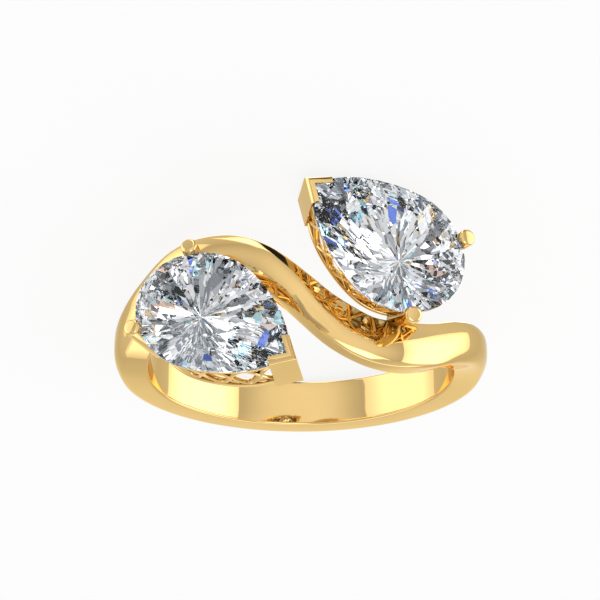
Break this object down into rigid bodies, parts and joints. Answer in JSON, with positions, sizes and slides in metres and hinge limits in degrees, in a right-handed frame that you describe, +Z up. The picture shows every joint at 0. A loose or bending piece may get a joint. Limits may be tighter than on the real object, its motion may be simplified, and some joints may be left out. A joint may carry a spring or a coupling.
{
  "type": "toi et moi ring",
  "caption": "Yellow gold bypass ring with an S-shaped band and pear-cut diamonds in V-prong settings with pierced galleries.",
  "frame": {"origin": "middle of the bounding box's underside, on the surface that the ring lies on", "axes": "+Z up from the surface, -Y towards the front, where the stones face, +X to the right"},
  "size_m": [0.0206, 0.024, 0.0107],
  "materials": {
    "gold": "polished 18 carat yellow gold",
    "diamond": "clear faceted diamond"
  },
  "bodies": {
    "root": {"band_and_settings": "gold", "right_stone": "diamond", "left_stone": "diamond"}
  },
  "joints": []
}
